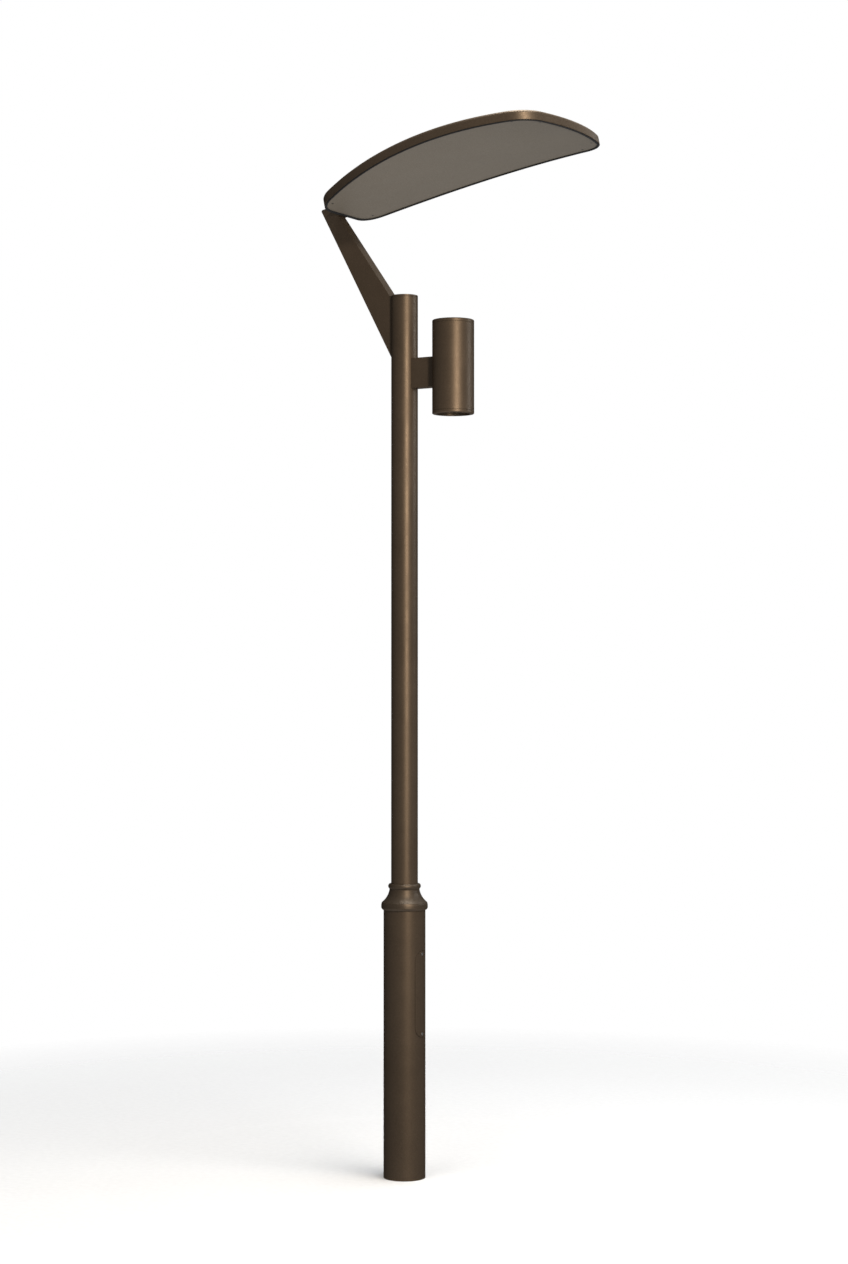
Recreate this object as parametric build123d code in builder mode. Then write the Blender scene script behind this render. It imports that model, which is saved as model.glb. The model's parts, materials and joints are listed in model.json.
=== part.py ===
from build123d import *

import os
from math import asin, atan2, cos, hypot, radians, sin

# Street lamp post: a bolted-down pole with a service door, an indirect reflector head on a
# leaning arm, and an upright spotlight with a glass at each end. Millimetres, +Z up, +X
# towards the spotlight, origin on the pole's axis at ground level.

os.makedirs("parts", exist_ok=True)

# Clearances
weld_gap = 0.1        # between curved faces that are welded or bonded
free_gap = 0.3        # between pieces that move past each other
screw_gap = 0.2       # round a screw's shank in a plain hole

# Lower pole
base_radius = 79.5
base_wall = 4.5
base_top = 1030.0
base_plate_thickness = 12.0
anchor_edge = 20.0
anchor_hole_radius = 9.0
entry_hole_radius = 26.0
grommet_bore_radius = 20.0
grommet_lip = 4.0

# Service door
door_headroom = 18.5     # from the door's top to the foot of the upper pole
door_height = 328.0
door_width = 76.0
door_gap = 1.8
door_landing = 8.0
frame_overlap = 12.0
frame_thickness = 6.0
gasket_width = 6.0
gasket_depth = 2.0
door_gasket_squeeze = 0.3
lock_inset = 13.5
lock_head_radius = 6.0
lock_head_depth = 2.6
lock_shank_radius = 3.0
lock_slot_width = 1.6
lock_slot_depth = 1.2
tab_thickness = 9.0
tab_half_width = 9.0
tab_below_lock = 9.0

# Equipment in the lower pole
board_front = -29.0
board_thickness = 5.0
board_half_width = 44.0
board_drop = 122.5       # from the door's middle to the board's foot
board_height = 250.0
mount_height = 12.0
mount_half_width = 15.0
mount_inset = 22.0
board_screw_radius = 2.5
board_screw_length = 16.0
box_depth = 38.0
box_half_width = 30.0
box_drop = 57.5
box_height = 150.0
box_wall = 2.5
box_lid_thickness = 3.0
holder_depth = 19.0
holder_half_width = 12.0
holder_height = 84.0
carrier_half_width = 13.0
carrier_height = 62.0
grip_depth = 9.0
grip_half_width = 3.0
fuse_radius = 5.0
fuse_length = 38.0
gland_radius = 9.0
gland_length = 16.0
earth_drop = 107.5
earth_radius = 4.0
earth_length = 24.0

# Upper pole and the joint between the two poles
pole_radius = 50.8
pole_wall = 4.0
pole_overlap = 150.0     # of the upper pole inside the lower one
pole_height = 3345.0
cap_thickness = 7.0
cap_seal_thickness = 1.0
cap_skirt = 18.0
cap_skirt_wall = 3.0
ring_thickness = 10.0
ring_foot_inset = 4.0

# Collar
collar_skirt = 17.3      # of the collar round the outside of the lower pole
collar_band_wall = 9.1
collar_neck_wall = 6.3
collar_bead_wall = 11.2
collar_bead_height = 19.0
collar_height = 98.0
collar_skirt_gap = 0.3
collar_bore_gap = 0.2
set_screw_radius = 4.0
set_screw_height = 9.0
set_screw_angles = (100, 190)

# Reflector head: the rim's two ends lie on one slope, and the underside arches above it
head_start_reach = 280.7
head_start_rise = 333.4  # above the top of the pole
head_end_reach = 698.1
head_end_rise = 540.5
arch_rise = 45.6
start_half_width = 164.3
middle_half_width = 314.5
end_half_width = 287.8
end_bulge = 50.0
corner_radius = 115.0
cover_depth = 36.0
cover_wall = 3.0
cover_edge_radius = 11.0
panel_gap = 7.0
panel_recess = 1.0
lip_proud = 3.5
panel_thickness = 3.0
seal_thickness = 4.0
seal_width = 14.0
rim_frame_thickness = 3.0
rim_frame_width = 15.0
spine_half_width = 20.0
spine_headroom = 4.0
spine_wall = 3.0
spine_length = 720.0
spine_tail = 45.0
rib_thickness = 4.0
rib_places = (200.0, 450.0, 700.0)
standoff_radius = 7.0
panel_screw_radius = 2.5
panel_screw_length = 18.0
panel_screw_head_radius = 4.8
panel_screw_sunk = 0.2
panel_screw_land = 0.3
root_screw_inset = (49.0, 22.3)
tip_screw_inset = (1.5, 89.8)
side_screw_inset = (75.5, 15.8)

# Arm
arm_root_height = 233.0
arm_half_width = 25.0
arm_plate = 4.0
arm_flange_thickness = 7.0
arm_crown_rise = 6.0     # above the top of the head
arm_crown_back = 79.7
arm_crown_radius = 6.0
arm_flange_drop = 2.0

# Spotlight
spot_radius = 79.0
spot_wall = 5.0
spot_height = 354.0
spot_drop = 109.0        # below the top of the pole
bezel_height = 12.7
bezel_seam = 0.8
bezel_lip = 15.0
bezel_edge_radius = 4.0
bezel_spigot_length = 12.0
bezel_spigot_wall = 5.0
glass_inset = 7.0
glass_thickness = 5.0
glass_seal_thickness = 2.0
seat_inset = 13.0
seat_thickness = 4.0
optic_inset = 17.0
optic_throat_radius = 16.0
optic_wall = 1.5
module_gap = 1.0
module_radius = 26.0
module_thickness = 2.0
emitter_radius = 12.0
emitter_thickness = 2.0
sink_plate = 8.0
sink_fin_height = 20.0
sink_fin_thickness = 3.0
sink_fin_pitch = 12.0
driver_room = 84.6       # between the two heat sinks
driver_length = 84.0
driver_half_width = 28.0
driver_height = 44.0
driver_offset = 6.0
terminal_depth = 12.0
terminal_half_width = 14.0
terminal_height = 24.0

# Spotlight bracket
bracket_length = 85.7
bracket_height = 113.0
bracket_drop = 13.5      # below the middle of the spotlight
bracket_half_width = 25.0
bracket_wall = 4.0
bracket_end_wall = 5.0
bracket_lid_thickness = 4.0
bracket_bolt_spread = 22.0
bracket_bolt_radius = 3.0
bracket_bolt_head_radius = 5.0
bracket_bolt_head_depth = 5.0
bracket_nut_radius = 5.5
bracket_nut_thickness = 5.0
lid_boss_radius = 4.5
lid_screw_radius = 2.0
lid_screw_head_radius = 4.0
lid_screw_length = 14.0

# Lamp cable
cable_radius = 4.0
cable_place = -12.0
cable_bend = 50.0
cable_hole_radius = 7.0

# Worked out from the sizes above
base_inner_radius = base_radius - base_wall
anchor_circle_radius = base_inner_radius - anchor_edge
pole_inner_radius = pole_radius - pole_wall
pole_foot = base_top - pole_overlap
pole_top = pole_height - cap_thickness - cap_seal_thickness
door_centre = pole_foot - door_headroom - door_height / 2
door_top = door_centre + door_height / 2
door_bottom = door_centre - door_height / 2
door_inner_radius = base_inner_radius + free_gap
lock_heights = (door_bottom + lock_inset, door_top - lock_inset)
frame_outer_radius = base_inner_radius - weld_gap
frame_inner_radius = frame_outer_radius - frame_thickness
board_back = board_front - board_thickness
board_bottom = door_centre - board_drop
box_bottom = door_centre - box_drop
earth_height = door_centre - earth_drop
box_front = board_front + box_depth
box_top = box_bottom + box_height
box_middle = box_bottom + box_height / 2
mount_heights = (board_bottom + mount_inset, board_bottom + board_height - mount_inset)
collar_foot = base_top - collar_skirt
collar_top = collar_foot + collar_height
collar_band_radius = base_radius + collar_band_wall
collar_neck_radius = pole_radius + collar_neck_wall
collar_bead_radius = pole_radius + collar_bead_wall
arm_foot = pole_height - arm_root_height
arm_crown = cover_depth + arm_crown_rise
head_start = (-head_start_reach, pole_height + head_start_rise)
head_end = (head_end_reach, pole_height + head_end_rise)
head_length = hypot(head_end[0] - head_start[0], head_end[1] - head_start[1])
head_tilt = atan2(head_end[1] - head_start[1], head_end[0] - head_start[0])
arch_radius = ((head_length / 2) ** 2 + arch_rise**2) / (2 * arch_rise)
seal_base = panel_recess + panel_thickness
frame_base = seal_base + seal_thickness
spine_base = frame_base + rim_frame_thickness
skin_base = cover_depth - cover_wall
spine_height = skin_base - spine_base - spine_headroom
panel_screw_places = (
    (root_screw_inset[0], start_half_width - root_screw_inset[1]),
    (head_length - tip_screw_inset[0], end_half_width - tip_screw_inset[1]),
    (head_length - side_screw_inset[0], end_half_width - side_screw_inset[1]),
)
spot_place = pole_radius + bracket_length + spot_radius
spot_top = pole_height - spot_drop
spot_bottom = spot_top - spot_height
spot_middle = (spot_bottom + spot_top) / 2
spot_inner_radius = spot_radius - spot_wall
bezel_opening_radius = spot_radius - bezel_lip
glass_radius = spot_radius - glass_inset
seat_radius = spot_radius - seat_inset
optic_mouth_radius = spot_radius - optic_inset
bracket_bottom = spot_middle - bracket_drop - bracket_height / 2
bracket_top = bracket_bottom + bracket_height
bracket_middle = bracket_bottom + bracket_height / 2
bolt_heights = (bracket_middle - bracket_bolt_spread, bracket_middle + bracket_bolt_spread)

# The head's own planes: one along its slope, one upright through its length
head_origin = (head_start[0], 0, head_start[1])
slope = (cos(head_tilt), 0, sin(head_tilt))
head_plan = Plane(origin=head_origin, x_dir=slope, z_dir=(-sin(head_tilt), 0, cos(head_tilt)))
head_side = Plane(origin=head_origin, x_dir=slope, z_dir=(0, -1, 0))


def save(part, name):
    """Label a finished piece and write its file."""
    part.label = name
    export_step(part, f"parts/{name}.step")


def tube(outer_radius, inner_radius, bottom, top, centre=(0, 0)):
    """An upright tube, or a plain disc where the inner radius is 0."""
    with BuildPart() as piece:
        with BuildSketch(Plane.XY.offset(bottom)):
            with Locations(centre):
                Circle(outer_radius)
                if inner_radius:
                    Circle(inner_radius, mode=Mode.SUBTRACT)
        extrude(amount=top - bottom)
    return piece.part


def block(low, high):
    """A box between two corners."""
    with BuildPart() as piece:
        with BuildSketch(Plane.XY.offset(low[2])):
            with Locations(((low[0] + high[0]) / 2, (low[1] + high[1]) / 2)):
                Rectangle(high[0] - low[0], high[1] - low[1])
        extrude(amount=high[2] - low[2])
    return piece.part


def rod(radius, start, end, height, across=0):
    """A round bar along X at a height."""
    with BuildPart() as piece:
        with BuildSketch(Plane.YZ.offset(start)):
            with Locations((across, height)):
                Circle(radius)
        extrude(amount=end - start)
    return piece.part


def door_shape(inset, inner_radius, outer_radius):
    """A curved plate of the door's outline, between two radii about the pole's axis."""
    with BuildPart() as piece:
        with BuildSketch(Plane.YZ):
            with Locations((0, door_centre)):
                SlotOverall(door_height - 2 * inset, door_width - 2 * inset, rotation=90)
        extrude(amount=base_radius + door_gap)
        add(tube(outer_radius, inner_radius, 0, base_top), mode=Mode.INTERSECT)
    return piece.part


# Foot of the post

def make_base_plate():
    with BuildPart() as piece:
        add(tube(base_inner_radius - weld_gap, entry_hole_radius, 0, base_plate_thickness))
        with BuildSketch(Plane.XY):
            with PolarLocations(anchor_circle_radius, 4, start_angle=45):
                Circle(anchor_hole_radius)
        extrude(amount=base_plate_thickness, mode=Mode.SUBTRACT)
    save(piece.part, "base_plate")


def make_cable_grommet():
    with BuildPart() as piece:
        add(tube(entry_hole_radius, grommet_bore_radius, 0, base_plate_thickness))
        lip_top = base_plate_thickness + grommet_lip
        add(tube(entry_hole_radius + grommet_lip, grommet_bore_radius, base_plate_thickness, lip_top))
    save(piece.part, "cable_grommet")


def make_lower_pole():
    with BuildPart() as piece:
        add(tube(base_radius, base_inner_radius, 0, base_top))
        with BuildSketch(Plane.YZ):
            with Locations((0, door_centre)):
                SlotOverall(door_height, door_width, rotation=90)
        extrude(amount=base_radius + door_gap, mode=Mode.SUBTRACT)
    save(piece.part, "lower_pole")


# Service door

def make_door_frame():
    with BuildPart() as piece:
        add(door_shape(-frame_overlap, frame_inner_radius, frame_outer_radius))
        add(door_shape(door_landing, 0, base_radius), mode=Mode.SUBTRACT)
        add(door_gasket_space(frame_outer_radius + door_gap), mode=Mode.SUBTRACT)
    save(piece.part, "door_frame")


def door_gasket_space(outer_radius):
    """The groove round the landing, up to a given radius."""
    floor_radius = frame_outer_radius - gasket_depth
    outer = door_shape(door_gap, floor_radius, outer_radius)
    return outer - door_shape(door_gap + gasket_width, 0, base_radius)


def make_door_gasket():
    save(door_gasket_space(door_inner_radius - door_gasket_squeeze), "door_gasket")


def make_door_cover():
    with BuildPart() as piece:
        add(door_shape(door_gap, door_inner_radius, base_radius))
        for height in lock_heights:
            add(rod(lock_shank_radius + free_gap, 0, base_radius, height), mode=Mode.SUBTRACT)
            seat = base_radius - lock_head_depth
            add(rod(lock_head_radius + free_gap, seat, base_radius, height), mode=Mode.SUBTRACT)
    save(piece.part, "door_cover")


def make_door_locks():
    tip = frame_inner_radius - tab_thickness
    for name, height in zip(("lower_door_lock", "upper_door_lock"), lock_heights):
        with BuildPart() as piece:
            add(rod(lock_shank_radius, tip, base_radius - lock_head_depth, height))
            add(rod(lock_head_radius, base_radius - lock_head_depth, base_radius, height))
            with BuildSketch(Plane.YZ.offset(base_radius - lock_slot_depth)):
                with Locations((0, height)):
                    Rectangle(lock_head_radius * 1.4, lock_slot_width)
            extrude(amount=lock_slot_depth, mode=Mode.SUBTRACT)
        save(piece.part, name)


def make_lock_tabs():
    with BuildPart() as piece:
        for height, side in zip(lock_heights, (-1, 1)):
            reach = height + side * (lock_inset + frame_overlap)
            low = min(height - side * tab_below_lock, reach)
            high = max(height - side * tab_below_lock, reach)
            near = frame_inner_radius - tab_thickness
            add(block((near, -tab_half_width, low), (base_radius, tab_half_width, high)))
            add(rod(lock_shank_radius + free_gap, 0, base_radius, height), mode=Mode.SUBTRACT)
        add(tube(frame_inner_radius - weld_gap, 0, 0, base_top), mode=Mode.INTERSECT)
    save(piece.part, "lock_tabs")


# Equipment behind the door

def make_board_mounts():
    with BuildPart() as piece:
        for height in mount_heights:
            low = (-base_radius, -mount_half_width, height - mount_height / 2)
            high = (board_back, mount_half_width, height + mount_height / 2)
            add(block(low, high))
            start = board_front - board_screw_length
            add(rod(board_screw_radius + screw_gap, start, board_back, height), mode=Mode.SUBTRACT)
        add(tube(base_inner_radius - weld_gap, 0, 0, base_top), mode=Mode.INTERSECT)
    save(piece.part, "board_mounts")


def make_equipment_board():
    with BuildPart() as piece:
        low = (board_back, -board_half_width, board_bottom)
        high = (board_front, board_half_width, board_bottom + board_height)
        add(block(low, high))
        for height in mount_heights:
            hole = rod(board_screw_radius + screw_gap, board_back, board_front, height)
            add(hole, mode=Mode.SUBTRACT)
    save(piece.part, "equipment_board")


def make_board_screws():
    with BuildPart() as piece:
        for height in mount_heights:
            add(rod(board_screw_radius, board_front - board_screw_length, board_front, height))
            head_end = board_front + board_screw_radius
            add(rod(2 * board_screw_radius, board_front, head_end, height))
    save(piece.part, "board_screws")


def make_fuse_box():
    with BuildPart() as piece:
        low = (board_front, -box_half_width, box_bottom)
        add(block(low, (box_front, box_half_width, box_top)))
        inner_low = (board_front + box_wall, box_wall - box_half_width, box_bottom + box_wall)
        inner_high = (box_front, box_half_width - box_wall, box_top - box_wall)
        add(block(inner_low, inner_high), mode=Mode.SUBTRACT)
        gland_hole = tube(cable_radius + screw_gap, 0, box_bottom, box_top, (cable_place, 0))
        add(gland_hole, mode=Mode.SUBTRACT)
    save(piece.part, "fuse_box")


def make_fuse_box_lid():
    with BuildPart() as piece:
        back = box_front
        front = box_front + box_lid_thickness
        add(block((back, -box_half_width, box_bottom), (front, box_half_width, box_top)))
        side = carrier_half_width + 2 * free_gap
        low = box_middle - carrier_height / 2 - 2 * free_gap
        high = box_middle + carrier_height / 2 + 2 * free_gap
        add(block((back, -side, low), (front, side, high)), mode=Mode.SUBTRACT)
    save(piece.part, "fuse_box_lid")


holder_front = board_front + box_wall + holder_depth


def make_fuse_holder():
    low = (board_front + box_wall, -holder_half_width, box_middle - holder_height / 2)
    high = (holder_front, holder_half_width, box_middle + holder_height / 2)
    save(block(low, high), "fuse_holder")


carrier_back = holder_front + free_gap
carrier_front = box_front + box_lid_thickness + free_gap
fuse_place = carrier_back + fuse_radius + free_gap


def make_fuse_carrier():
    with BuildPart() as piece:
        half_height = carrier_height / 2
        low = (carrier_back, -carrier_half_width, box_middle - half_height)
        add(block(low, (carrier_front, carrier_half_width, box_middle + half_height)))
        grip_low = (carrier_front, -grip_half_width, box_middle - half_height * 0.8)
        grip_high = (carrier_front + grip_depth, grip_half_width, box_middle + half_height * 0.8)
        add(block(grip_low, grip_high))
        pocket_side = fuse_radius + free_gap
        pocket_half = fuse_length / 2 + free_gap
        pocket_low = (carrier_back, -pocket_side, box_middle - pocket_half)
        pocket_high = (fuse_place + pocket_side, pocket_side, box_middle + pocket_half)
        add(block(pocket_low, pocket_high), mode=Mode.SUBTRACT)
    save(piece.part, "fuse_carrier")


def make_fuse_link():
    low = box_middle - fuse_length / 2
    save(tube(fuse_radius, 0, low, low + fuse_length, (fuse_place, 0)), "fuse_link")


def gland(plane):
    """A six-sided cable gland, standing on a plane, bored for the lamp cable."""
    with BuildPart() as piece:
        with BuildSketch(plane):
            RegularPolygon(gland_radius, 6)
            Circle(cable_radius + weld_gap, mode=Mode.SUBTRACT)
        extrude(amount=gland_length * 0.6)
        with BuildSketch(plane.offset(gland_length * 0.6)):
            Circle(gland_radius * 0.8)
            Circle(cable_radius + weld_gap, mode=Mode.SUBTRACT)
        extrude(amount=gland_length * 0.4)
    return piece.part


def make_cable_glands():
    spot_side = spot_place - spot_radius - weld_gap - bracket_end_wall
    with BuildPart() as piece:
        add(gland(Plane(origin=(cable_place, 0, box_top))))
        add(gland(Plane(origin=(cable_place, 0, box_bottom), z_dir=(0, 0, -1))))
        add(gland(Plane(origin=(spot_side, 0, bracket_middle), z_dir=(-1, 0, 0))))
    save(piece.part, "cable_glands")


earth_plane = Plane(origin=(0, -frame_outer_radius, earth_height), z_dir=(0, 1, 0))


def make_earth_stud():
    with BuildPart() as piece:
        with BuildSketch(earth_plane):
            Circle(earth_radius)
        extrude(amount=earth_length)
        add(tube(frame_outer_radius, 0, 0, base_top), mode=Mode.INTERSECT)
    save(piece.part, "earth_stud")


def make_earth_nuts():
    with BuildPart() as piece:
        for place in (earth_length * 0.35, earth_length * 0.65):
            with BuildSketch(earth_plane.offset(place)):
                RegularPolygon(earth_radius * 1.85, 6)
                Circle(earth_radius + weld_gap, mode=Mode.SUBTRACT)
            extrude(amount=earth_radius * 1.4)
    save(piece.part, "earth_nuts")


# Joint between the two poles

def make_centring_rings():
    with BuildPart() as piece:
        for bottom in (pole_foot + ring_foot_inset, base_top - ring_thickness):
            outer = base_inner_radius - weld_gap
            add(tube(outer, pole_radius + weld_gap, bottom, bottom + ring_thickness))
    save(piece.part, "centring_rings")


def make_collar():
    skirt_radius = base_radius + collar_skirt_gap
    bore_radius = pole_radius + collar_bore_gap
    band_top = collar_foot + 27.3
    flare_top = collar_top - collar_bead_height
    relief_radius = skirt_radius - 8
    with BuildPart() as piece:
        with BuildSketch(Plane.XZ):
            with BuildLine():
                start = (skirt_radius, collar_foot)
                rim = (collar_band_radius - 5.5, collar_foot)
                band_low = (collar_band_radius, collar_foot + 11.5)
                rim_middle = (collar_band_radius - 1.4, collar_foot + 4.6)
                band_shoulder = (collar_band_radius - 0.4, collar_foot + 19.5)
                shoulder = (collar_band_radius - 2.4, band_top)
                flare_middle = ((shoulder[0] + collar_neck_radius) / 2 - 2.6, band_top + 18.5)
                neck = (collar_neck_radius, flare_top - 4)
                bead_foot = (collar_neck_radius, flare_top)
                bead_middle = (collar_bead_radius, collar_top - collar_bead_height / 2)
                bead_top = (collar_neck_radius, collar_top)
                Line(start, rim)
                ThreePointArc(rim, rim_middle, band_low)
                Line(band_low, band_shoulder)
                Line(band_shoulder, shoulder)
                ThreePointArc(shoulder, flare_middle, neck)
                Line(neck, bead_foot)
                ThreePointArc(bead_foot, bead_middle, bead_top)
                Polyline(
                    bead_top,
                    (bore_radius, collar_top),
                    (bore_radius, band_top + 24),
                    (relief_radius, base_top),
                    (skirt_radius, base_top),
                    start,
                )
            make_face()
        revolve(axis=Axis.Z)
        for angle in set_screw_angles:
            add(set_screw_hole(angle, screw_gap), mode=Mode.SUBTRACT)
    save(piece.part, "collar")


def set_screw_hole(angle, gap):
    """The space of a set screw through the collar's band, with a gap round it."""
    start = base_radius + weld_gap
    length = collar_band_radius - base_radius - 1.5
    if gap:
        start = base_radius - 1
        length = collar_band_radius
    away = (cos(radians(angle)), sin(radians(angle)), 0)
    origin = (away[0] * start, away[1] * start, collar_foot + set_screw_height)
    with BuildPart() as piece:
        with BuildSketch(Plane(origin=origin, z_dir=away)):
            Circle(set_screw_radius + gap)
        extrude(amount=length)
    return piece.part


def make_collar_set_screws():
    with BuildPart() as piece:
        for angle in set_screw_angles:
            add(set_screw_hole(angle, 0))
    save(piece.part, "collar_set_screws")


# Upper pole

def make_upper_pole():
    with BuildPart() as piece:
        add(tube(pole_radius, pole_inner_radius, pole_foot, pole_top))
        cable_hole = rod(cable_hole_radius, 0, pole_radius, bracket_middle)
        add(cable_hole, mode=Mode.SUBTRACT)
        for height in bolt_heights:
            hole = rod(bracket_bolt_radius + screw_gap, 0, pole_radius, height)
            add(hole, mode=Mode.SUBTRACT)
    save(piece.part, "upper_pole")


def make_cap_gasket():
    seal = tube(pole_radius - 0.4, pole_inner_radius, pole_top, pole_top + cap_seal_thickness)
    save(seal, "cap_gasket")


def make_pole_top_cap():
    with BuildPart() as piece:
        add(tube(pole_radius, 0, pole_height - cap_thickness, pole_height))
        fillet(piece.edges().group_by(Axis.Z)[-1], radius=1.2)
        skirt_radius = pole_inner_radius - screw_gap
        skirt_foot = pole_height - cap_thickness - cap_skirt
        inner = skirt_radius - cap_skirt_wall
        add(tube(skirt_radius, inner, skirt_foot, pole_height - cap_thickness))
    save(piece.part, "pole_top_cap")


# Arm: a tapered box of two side plates and two edge strips

def arm_outline(inset):
    """The arm's side outline, drawn in by an inset, and cut to the pole's round."""
    flange_face = -arm_flange_thickness
    crown_back = head_side.from_local_coords((-arm_crown_back, arm_crown, 0))
    crown_front = head_side.from_local_coords((flange_face, arm_crown, 0))
    throat = head_side.from_local_coords((flange_face, -arm_flange_drop, 0))
    with BuildSketch() as outline:
        with BuildLine():
            Polyline(
                (-pole_radius + 6, arm_foot),
                (crown_back.X, crown_back.Z),
                (crown_front.X, crown_front.Z),
                (throat.X, throat.Z),
                (-pole_radius, pole_height),
                (0, pole_height),
                (0, arm_foot),
                close=True,
            )
        make_face()
        fillet(outline.vertices().sort_by(Axis.X)[0], radius=arm_crown_radius)
        if inset:
            offset(amount=-inset)
    return outline.sketch


def arm_solid(inset, near, far):
    """The arm's outline between two distances either side of its middle plane."""
    with BuildPart() as piece:
        with BuildSketch(Plane.XZ.offset(near)):
            add(arm_outline(inset))
        extrude(amount=far - near)
        add(tube(pole_radius + weld_gap, 0, arm_foot - 50, pole_height + 50), mode=Mode.SUBTRACT)
    return piece.part


def make_arm_plates():
    inner = arm_half_width - arm_plate
    save(arm_solid(0, inner, arm_half_width), "arm_near_plate")
    save(arm_solid(0, -arm_half_width, -inner), "arm_far_plate")


def arm_hollow_edge():
    """The box's edge all round, between the side plates, open at the pole and at the spine."""
    inner_half = arm_half_width - arm_plate
    with BuildPart() as piece:
        add(arm_solid(0, -inner_half, inner_half))
        add(arm_solid(arm_plate, -inner_half, inner_half), mode=Mode.SUBTRACT)
        with BuildSketch(head_side):
            with Locations((-arm_flange_thickness, arm_crown - arm_plate)):
                mouth_height = arm_crown - arm_plate - spine_base + 2
                Rectangle(4 * arm_plate, mouth_height, align=(Align.CENTER, Align.MAX))
        extrude(amount=inner_half, both=True, mode=Mode.SUBTRACT)
    return piece.part


def arm_inner_side():
    """The part of the arm's side view that holds its inner strip."""
    root = head_side.to_local_coords(Vector(-pole_radius, 0, (arm_foot + pole_height) / 2))
    middle = arm_crown / 2
    start = -arm_crown_back / 3
    with BuildPart() as piece:
        with BuildSketch(head_side):
            with BuildLine():
                corners = ((start, middle), (head_length, middle), (head_length, root.Y))
                Polyline(*corners, (root.X, root.Y), close=True)
            make_face()
        extrude(amount=arm_half_width, both=True)
    return piece.part


def make_arm_strips():
    for name, mode in (("arm_outer_strip", Mode.SUBTRACT), ("arm_inner_strip", Mode.INTERSECT)):
        with BuildPart() as piece:
            add(arm_hollow_edge())
            add(arm_inner_side(), mode=mode)
        save(piece.part, name)


def make_arm_head_flange():
    with BuildPart() as piece:
        with BuildSketch(head_side):
            with Locations((-arm_flange_thickness / 2, (arm_crown - arm_flange_drop) / 2)):
                Rectangle(arm_flange_thickness, arm_crown + arm_flange_drop)
        extrude(amount=arm_half_width, both=True)
        add(spine_space(free_gap), mode=Mode.SUBTRACT)
    save(piece.part, "arm_head_flange")


# Reflector head: layers of one plan outline, bent over one arch

def arch_band(low, high, start, end, half_width):
    """The space between two heights above the rim's arch, over a stretch of the head."""
    with BuildPart() as piece:
        with BuildSketch(head_side):
            with Locations((head_length / 2, arch_rise - arch_radius)):
                Circle(arch_radius + high)
                Circle(arch_radius + low, mode=Mode.SUBTRACT)
            with Locations(((start + end) / 2, 0)):
                Rectangle(end - start, head_length, mode=Mode.INTERSECT)
        extrude(amount=half_width, both=True)
    return piece.part


side_arc = ThreePointArc(
    (0, start_half_width), (head_length / 2, middle_half_width), (head_length, end_half_width)
)
tip_arc = ThreePointArc(
    (head_length, -end_half_width), (head_length + end_bulge, 0), (head_length, end_half_width)
)


def outline_corner(side_radius, tip_radius):
    """Where the side's circle meets the free end's circle, on the +Y side."""
    between = tip_arc.arc_center - side_arc.arc_center
    along = (side_radius**2 - tip_radius**2 + between.length**2) / (2 * between.length)
    away = (side_radius**2 - along**2) ** 0.5
    foot = side_arc.arc_center + between.normalized() * along
    square = Vector(between.Y, -between.X).normalized()
    return foot + square * away


def head_outline(inset):
    """The head's plan outline, drawn in by an inset: three arcs and a straight end."""
    side_radius = side_arc.radius - inset
    tip_radius = tip_arc.radius - inset
    centre = side_arc.arc_center
    start_side = centre.Y + (side_radius**2 - (centre.X - inset) ** 2) ** 0.5
    corner = outline_corner(side_radius, tip_radius)
    with BuildSketch() as outline:
        with BuildLine():
            for side in (1, -1):
                crest = (centre.X, side * (centre.Y + side_radius))
                ThreePointArc((inset, side * start_side), crest, (corner.X, side * corner.Y))
            Line((inset, -start_side), (inset, start_side))
            tip = (tip_arc.arc_center.X + tip_radius, 0)
            ThreePointArc((corner.X, -corner.Y), tip, (corner.X, corner.Y))
        make_face()
        fillet(outline.vertices(), radius=corner_radius - inset)
    return outline.sketch


def head_layer(inset, low, high):
    """A sheet of the head's outline between two heights above the rim's arch."""
    with BuildPart() as piece:
        with BuildSketch(head_plan):
            add(head_outline(inset))
        extrude(amount=head_length, both=True)
        reach = 2 * end_bulge
        band = arch_band(low, high, -reach, head_length + reach, head_length)
        add(band, mode=Mode.INTERSECT)
    return piece.part


def round_crown(layer, radius):
    """A layer with its upper edge rounded all the way round."""
    with BuildPart() as piece:
        add(layer)
        crown = piece.faces().sort_by(SortBy.AREA)[-2:].sort_by(Axis.Z)[-1]
        fillet(crown.edges(), radius=radius)
    return piece.part


def make_reflector_cover():
    with BuildPart() as piece:
        add(round_crown(head_layer(0, 0, cover_depth), cover_edge_radius))
        hollow = head_layer(cover_wall, -cover_depth, skin_base)
        add(round_crown(hollow, cover_edge_radius - cover_wall), mode=Mode.SUBTRACT)
        add(spine_space(free_gap), mode=Mode.SUBTRACT)
    save(piece.part, "reflector_cover")


def head_ring(inset, width, low, high):
    """A band that follows the head's outline all the way round."""
    with BuildPart() as piece:
        add(head_layer(inset, low, high))
        add(head_layer(inset + width, low - 1, high + 1), mode=Mode.SUBTRACT)
    return piece.part


def make_rim_frame():
    ring = head_ring(cover_wall + weld_gap, rim_frame_width, frame_base, spine_base)
    save(ring, "rim_frame")


def make_panel_gasket():
    """A flat seal behind the panel, with a lip that fills the gap round it and stands proud of the rim."""
    lip_width = panel_gap - 2 * weld_gap
    with BuildPart() as piece:
        add(head_ring(cover_wall + weld_gap, seal_width, seal_base, frame_base))
        add(head_ring(cover_wall + weld_gap, lip_width, -lip_proud, seal_base))
    save(piece.part, "panel_gasket")


def spine_space(gap):
    """The spine's outer shape, with a gap round it."""
    low = spine_base - gap
    high = spine_base + spine_height + gap
    return arch_band(low, high, -spine_tail, spine_length, spine_half_width + gap)


def make_head_spine():
    with BuildPart() as piece:
        add(spine_space(0))
        low = spine_base + spine_wall
        high = spine_base + spine_height - spine_wall
        reach = spine_length + 1
        hollow = arch_band(low, high, -spine_tail - 1, reach, spine_half_width - spine_wall)
        add(hollow, mode=Mode.SUBTRACT)
    save(piece.part, "head_spine")


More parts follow.
